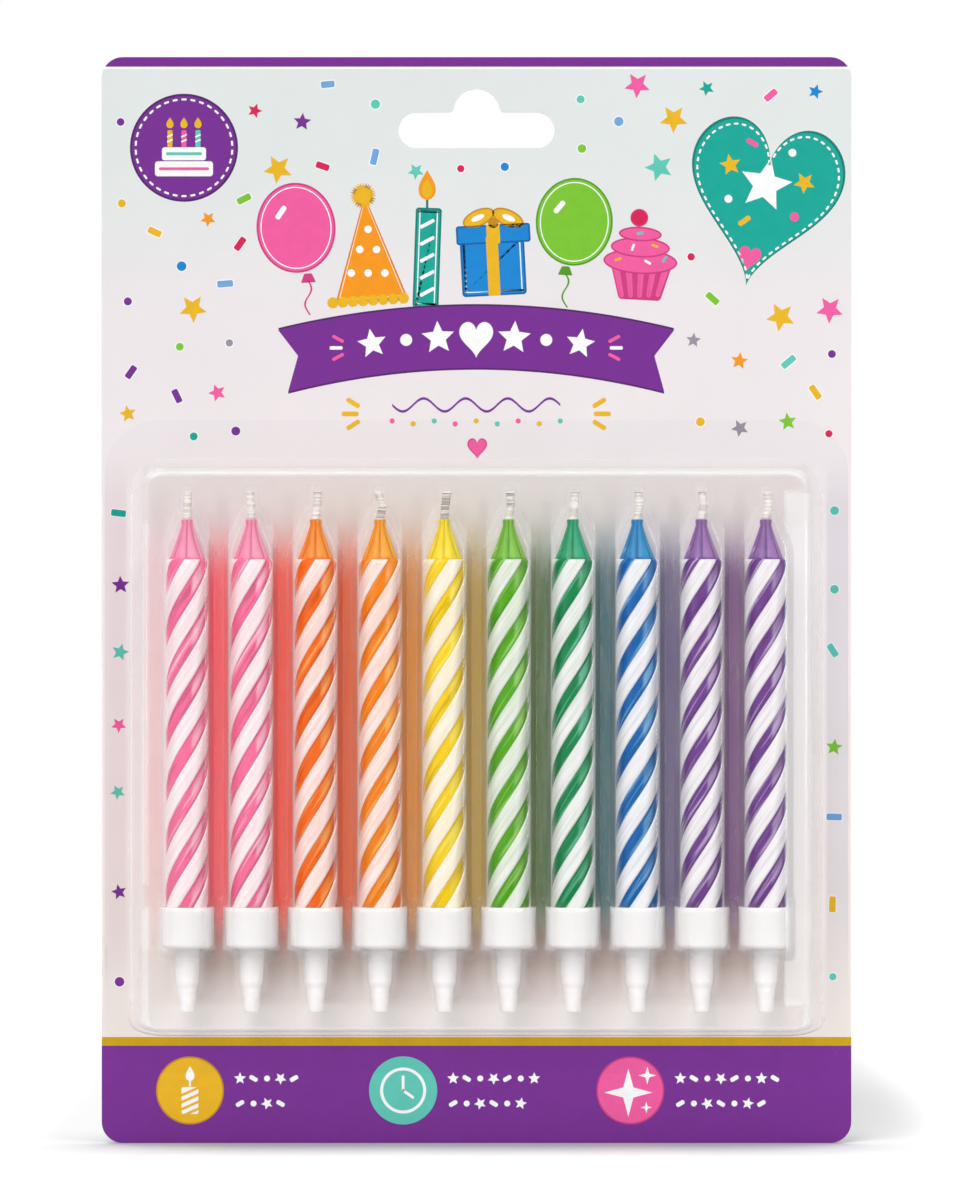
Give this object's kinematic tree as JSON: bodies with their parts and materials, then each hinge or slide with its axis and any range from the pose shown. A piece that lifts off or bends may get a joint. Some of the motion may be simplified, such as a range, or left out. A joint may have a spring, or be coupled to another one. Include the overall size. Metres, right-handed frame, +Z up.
{
  "type": "carded spiral birthday candles",
  "caption": "Hang card with a clear formed blister holding a row of spiral-striped wax candles with cotton wicks, each in a push-in plastic holder.",
  "frame": {"origin": "centre of the hanging arch in the card's slot, on the card's back face", "axes": "+Z up the standing card towards its hanging slot, -Y out of its printed front, +X along its width"},
  "size_m": [0.107, 0.0091, 0.155],
  "materials": {
    "card": "coated, printed front",
    "clear_sheet": "clear gloss",
    "holder": "moulded, semi-gloss",
    "wax_white": "satin wax",
    "wick": "braided cotton",
    "wax_pink": "glossy wax",
    "wax_orange": "glossy wax",
    "wax_amber": "glossy wax",
    "wax_yellow": "glossy wax",
    "wax_lime": "glossy wax",
    "wax_green": "glossy wax",
    "wax_blue": "glossy wax",
    "wax_purple": "glossy wax"
  },
  "bodies": {
    "card": {"card": "card"},
    "blister": {"blister": "clear_sheet", "holder_01": "holder", "holder_02": "holder", "holder_03": "holder", "holder_04": "holder", "holder_05": "holder", "holder_06": "holder", "holder_07": "holder", "holder_08": "holder", "holder_09": "holder", "holder_10": "holder"},
    "candle_01": {"candle_core_01": "wax_pink", "candle_stripes_01": "wax_white", "wick_01": "wick"},
    "candle_02": {"candle_core_02": "wax_pink", "candle_stripes_02": "wax_white", "wick_02": "wick"},
    "candle_03": {"candle_core_03": "wax_orange", "candle_stripes_03": "wax_white", "wick_03": "wick"},
    "candle_04": {"candle_core_04": "wax_amber", "candle_stripes_04": "wax_white", "wick_04": "wick"},
    "candle_05": {"candle_core_05": "wax_yellow", "candle_stripes_05": "wax_white", "wick_05": "wick"},
    "candle_06": {"candle_core_06": "wax_lime", "candle_stripes_06": "wax_white", "wick_06": "wick"},
    "candle_07": {"candle_core_07": "wax_green", "candle_stripes_07": "wax_white", "wick_07": "wick"},
    "candle_08": {"candle_core_08": "wax_blue", "candle_stripes_08": "wax_white", "wick_08": "wick"},
    "candle_09": {"candle_core_09": "wax_purple", "candle_stripes_09": "wax_white", "wick_09": "wick"},
    "candle_10": {"candle_core_10": "wax_purple", "candle_stripes_10": "wax_white", "wick_10": "wick"}
  },
  "joints": [
    {"name": "blister_peel", "type": "hinge", "parent": "card", "child": "blister", "pos_m": [0, -0.00085, -0.1371], "axis": [1, 0, 0], "range_deg": [0, 110]},
    {"name": "candle_pull_01", "type": "slide", "parent": "blister", "child": "candle_01", "axis": [0, 0, 1], "range_m": [0, 0.0012]},
    {"name": "candle_pull_02", "type": "slide", "parent": "blister", "child": "candle_02", "axis": [0, 0, 1], "range_m": [0, 0.0012]},
    {"name": "candle_pull_03", "type": "slide", "parent": "blister", "child": "candle_03", "axis": [0, 0, 1], "range_m": [0, 0.0012]},
    {"name": "candle_pull_04", "type": "slide", "parent": "blister", "child": "candle_04", "axis": [0, 0, 1], "range_m": [0, 0.0012]},
    {"name": "candle_pull_05", "type": "slide", "parent": "blister", "child": "candle_05", "axis": [0, 0, 1], "range_m": [0, 0.0012]},
    {"name": "candle_pull_06", "type": "slide", "parent": "blister", "child": "candle_06", "axis": [0, 0, 1], "range_m": [0, 0.0012]},
    {"name": "candle_pull_07", "type": "slide", "parent": "blister", "child": "candle_07", "axis": [0, 0, 1], "range_m": [0, 0.0012]},
    {"name": "candle_pull_08", "type": "slide", "parent": "blister", "child": "candle_08", "axis": [0, 0, 1], "range_m": [0, 0.0012]},
    {"name": "candle_pull_09", "type": "slide", "parent": "blister", "child": "candle_09", "axis": [0, 0, 1], "range_m": [0, 0.0012]},
    {"name": "candle_pull_10", "type": "slide", "parent": "blister", "child": "candle_10", "axis": [0, 0, 1], "range_m": [0, 0.0012]}
  ]
}
